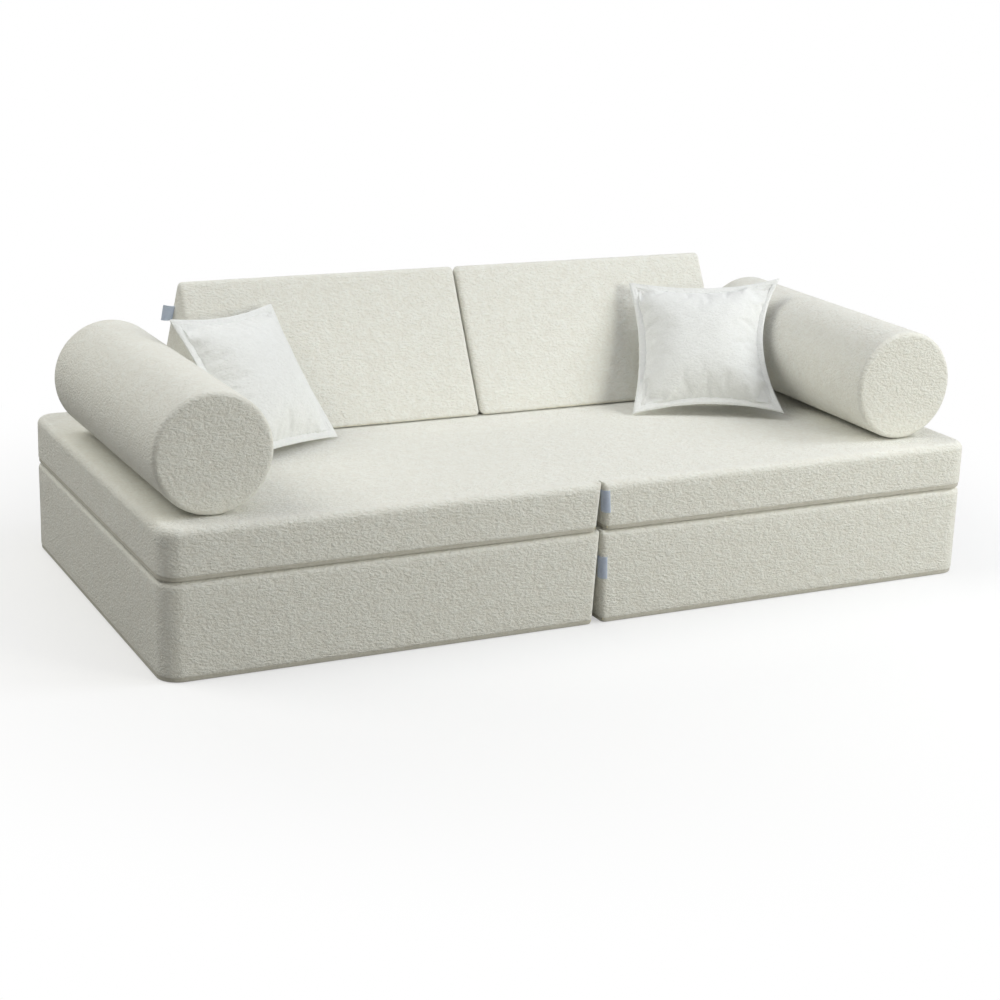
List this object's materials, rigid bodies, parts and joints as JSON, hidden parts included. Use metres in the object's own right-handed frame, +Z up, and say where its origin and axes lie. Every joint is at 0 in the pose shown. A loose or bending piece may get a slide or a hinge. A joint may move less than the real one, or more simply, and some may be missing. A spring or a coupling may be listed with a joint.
{
  "type": "modular foam play sofa",
  "caption": "Modular foam play sofa: two stacked fold-out floor mattresses with loose wedge backs, round bolsters and scatter pillows in ivory bouclé covers.",
  "frame": {"origin": "on the floor under the middle of the sofa's bounding box", "axes": "+Z up, -Y towards the front, +X towards the right as seen from the front"},
  "size_m": [1.9002, 0.9539, 0.6271],
  "materials": {
    "foam": "matte",
    "fibre_fill": "matte",
    "boucle_cloth": "matte",
    "pillow_cloth": "matte",
    "underside_cloth": "matte",
    "tag_cloth": "matte",
    "zip_tape": "matte",
    "zip_metal": "satin"
  },
  "bodies": {
    "base_right": {"base_right_foam": "foam", "base_right_cover": "boucle_cloth", "base_right_underside": "underside_cloth", "base_right_zip": "zip_tape", "base_hinge": "boucle_cloth", "base_tag": "tag_cloth"},
    "base_left": {"base_left_foam": "foam", "base_left_cover": "boucle_cloth", "base_left_underside": "underside_cloth", "base_left_zip": "zip_tape"},
    "seat_left": {"seat_left_foam": "foam", "seat_left_cover": "boucle_cloth", "seat_left_underside": "underside_cloth", "seat_left_zip": "zip_tape", "seat_hinge": "boucle_cloth"},
    "seat_right": {"seat_right_foam": "foam", "seat_right_cover": "boucle_cloth", "seat_right_underside": "underside_cloth", "seat_right_zip": "zip_tape", "seat_tag": "tag_cloth"},
    "back_left": {"back_left_foam": "foam", "back_left_cover": "boucle_cloth", "back_left_zip": "zip_tape", "back_tag": "tag_cloth"},
    "back_right": {"back_right_foam": "foam", "back_right_cover": "boucle_cloth", "back_right_zip": "zip_tape"},
    "bolster_left": {"bolster_left_foam": "foam", "bolster_left_cover": "boucle_cloth", "bolster_left_zip": "zip_tape"},
    "bolster_right": {"bolster_right_foam": "foam", "bolster_right_cover": "boucle_cloth", "bolster_right_zip": "zip_tape"},
    "pillow_left": {"pillow_left_insert": "fibre_fill", "pillow_left_cover": "pillow_cloth", "pillow_left_zip": "zip_tape"},
    "pillow_right": {"pillow_right_insert": "fibre_fill", "pillow_right_cover": "pillow_cloth", "pillow_right_zip": "zip_tape"},
    "base_right_zip_slider": {"base_right_zip_slider": "zip_metal"},
    "base_right_zip_pull": {"base_right_zip_pull": "zip_metal"},
    "base_left_zip_slider": {"base_left_zip_slider": "zip_metal"},
    "base_left_zip_pull": {"base_left_zip_pull": "zip_metal"},
    "seat_left_zip_slider": {"seat_left_zip_slider": "zip_metal"},
    "seat_left_zip_pull": {"seat_left_zip_pull": "zip_metal"},
    "seat_right_zip_slider": {"seat_right_zip_slider": "zip_metal"},
    "seat_right_zip_pull": {"seat_right_zip_pull": "zip_metal"},
    "back_left_zip_slider": {"back_left_zip_slider": "zip_metal"},
    "back_left_zip_pull": {"back_left_zip_pull": "zip_metal"},
    "back_right_zip_slider": {"back_right_zip_slider": "zip_metal"},
    "back_right_zip_pull": {"back_right_zip_pull": "zip_metal"},
    "bolster_left_zip_slider": {"bolster_left_zip_slider": "zip_metal"},
    "bolster_left_zip_pull": {"bolster_left_zip_pull": "zip_metal"},
    "bolster_right_zip_slider": {"bolster_right_zip_slider": "zip_metal"},
    "bolster_right_zip_pull": {"bolster_right_zip_pull": "zip_metal"},
    "pillow_left_zip_slider": {"pillow_left_zip_slider": "zip_metal"},
    "pillow_left_zip_pull": {"pillow_left_zip_pull": "zip_metal"},
    "pillow_right_zip_slider": {"pillow_right_zip_slider": "zip_metal"},
    "pillow_right_zip_pull": {"pillow_right_zip_pull": "zip_metal"}
  },
  "joints": [
    {"name": "base_fold", "type": "hinge", "parent": "base_right", "child": "base_left", "pos_m": [0, 0, 0.2044], "axis": [0, 1, 0], "range_deg": [0, 180], "deforming": ["base_hinge"]},
    {"name": "seat_tip", "type": "hinge", "parent": "base_right", "child": "seat_left", "pos_m": [0.95, 0, 0.204], "axis": [0, 1, 0], "range_deg": [0, 96]},
    {"name": "seat_fold", "type": "hinge", "parent": "seat_left", "child": "seat_right", "pos_m": [0, 0, 0.3094], "axis": [0, -1, 0], "range_deg": [0, 180], "deforming": ["seat_hinge"]},
    {"name": "cushions_tip", "type": "hinge", "parent": "seat_left", "child": "back_left", "pos_m": [-0.95, 0, 0.309], "axis": [0, -1, 0], "range_deg": [0, 96]},
    {"name": "back_right_lift_off", "type": "slide", "parent": "back_left", "child": "back_right", "axis": [0, 1, 0], "range_m": [0, 0.35]},
    {"name": "bolster_left_draw", "type": "slide", "parent": "back_left", "child": "bolster_left", "axis": [0.007, -1, 0], "range_m": [0, 0.35]},
    {"name": "bolster_right_draw", "type": "slide", "parent": "back_left", "child": "bolster_right", "axis": [-0.0227, -0.9997, 0], "range_m": [0, 0.35]},
    {"name": "pillow_left_lift", "type": "slide", "parent": "bolster_left", "child": "pillow_left", "axis": [0, 0, 1], "range_m": [0, 0.25]},
    {"name": "pillow_right_lift", "type": "slide", "parent": "bolster_right", "child": "pillow_right", "axis": [0, 0, 1], "range_m": [0, 0.25]},
    {"name": "base_right_zip_run", "type": "slide", "parent": "base_right", "child": "base_right_zip_slider", "axis": [-1, 0, 0], "range_m": [0, 0.752]},
    {"name": "base_right_zip_pull_flip", "type": "hinge", "parent": "base_right_zip_slider", "child": "base_right_zip_pull", "pos_m": [0.851, 0.4765, 0.03], "axis": [0, 0, -1], "range_deg": [0, 170]},
    {"name": "base_left_zip_run", "type": "slide", "parent": "base_left", "child": "base_left_zip_slider", "axis": [1, 0, 0], "range_m": [0, 0.752]},
    {"name": "base_left_zip_pull_flip", "type": "hinge", "parent": "base_left_zip_slider", "child": "base_left_zip_pull", "pos_m": [-0.851, 0.4765, 0.03], "axis": [0, 0, 1], "range_deg": [0, 170]},
    {"name": "seat_left_zip_run", "type": "slide", "parent": "seat_left", "child": "seat_left_zip_slider", "axis": [1, 0, 0], "range_m": [0, 0.752]},
    {"name": "seat_left_zip_pull_flip", "type": "hinge", "parent": "seat_left_zip_slider", "child": "seat_left_zip_pull", "pos_m": [-0.851, 0.4765, 0.234], "axis": [0, 0, 1], "range_deg": [0, 170]},
    {"name": "seat_right_zip_run", "type": "slide", "parent": "seat_right", "child": "seat_right_zip_slider", "axis": [-1, 0, 0], "range_m": [0, 0.752]},
    {"name": "seat_right_zip_pull_flip", "type": "hinge", "parent": "seat_right_zip_slider", "child": "seat_right_zip_pull", "pos_m": [0.851, 0.4765, 0.234], "axis": [0, 0, -1], "range_deg": [0, 170]},
    {"name": "back_left_zip_run", "type": "slide", "parent": "back_left", "child": "back_left_zip_slider", "axis": [1, 0, 0], "range_m": [0, 0.492]},
    {"name": "back_left_zip_pull_flip", "type": "hinge", "parent": "back_left_zip_slider", "child": "back_left_zip_pull", "pos_m": [-0.5805, 0.44982, 0.34924], "axis": [0, -0.4909, 0.8712], "range_deg": [0, 170]},
    {"name": "back_right_zip_run", "type": "slide", "parent": "back_right", "child": "back_right_zip_slider", "axis": [-1, 0, 0], "range_m": [0, 0.492]},
    {"name": "back_right_zip_pull_flip", "type": "hinge", "parent": "back_right_zip_slider", "child": "back_right_zip_pull", "pos_m": [0.5805, 0.44982, 0.34924], "axis": [0, 0.4909, -0.8712], "range_deg": [0, 170]},
    {"name": "bolster_left_zip_run", "type": "slide", "parent": "bolster_left", "child": "bolster_left_zip_slider", "axis": [0.007, -1, 0], "range_m": [0, 0.532]},
    {"name": "bolster_left_zip_pull_flip", "type": "hinge", "parent": "bolster_left_zip_slider", "child": "bolster_left_zip_pull", "pos_m": [-0.73055, 0.19865, 0.35245], "axis": [0.6428, 0.0045, 0.766], "range_deg": [0, 170]},
    {"name": "bolster_right_zip_run", "type": "slide", "parent": "bolster_right", "child": "bolster_right_zip_slider", "axis": [-0.0227, -0.9997, 0], "range_m": [0, 0.532]},
    {"name": "bolster_right_zip_pull_flip", "type": "hinge", "parent": "bolster_right_zip_slider", "child": "bolster_right_zip_pull", "pos_m": [0.91971, 0.21567, 0.35245], "axis": [0.6426, -0.0146, 0.766], "range_deg": [0, 170]},
    {"name": "pillow_left_zip_run", "type": "slide", "parent": "pillow_left", "child": "pillow_left_zip_slider", "axis": [-0.8613, -0.5057, 0.0491], "range_m": [0, 0.162]},
    {"name": "pillow_left_zip_pull_flip", "type": "hinge", "parent": "pillow_left_zip_slider", "child": "pillow_left_zip_pull", "pos_m": [-0.46906, 0.02099, 0.33506], "axis": [0.2675, -0.5335, -0.8024], "range_deg": [0, 170]},
    {"name": "pillow_right_zip_run", "type": "slide", "parent": "pillow_right", "child": "pillow_right_zip_slider", "axis": [-0.8878, 0.4591, -0.0327], "range_m": [0, 0.162]},
    {"name": "pillow_right_zip_pull_flip", "type": "hinge", "parent": "pillow_right_zip_slider", "child": "pillow_right_zip_pull", "pos_m": [0.58062, -0.09631, 0.33681], "axis": [-0.2828, -0.6001, -0.7482], "range_deg": [0, 170]}
  ],
  "couplings": [
    {"joint": "seat_tip", "follows": "base_fold", "ratio": 0.53},
    {"joint": "cushions_tip", "follows": "seat_fold", "ratio": 0.53}
  ]
}
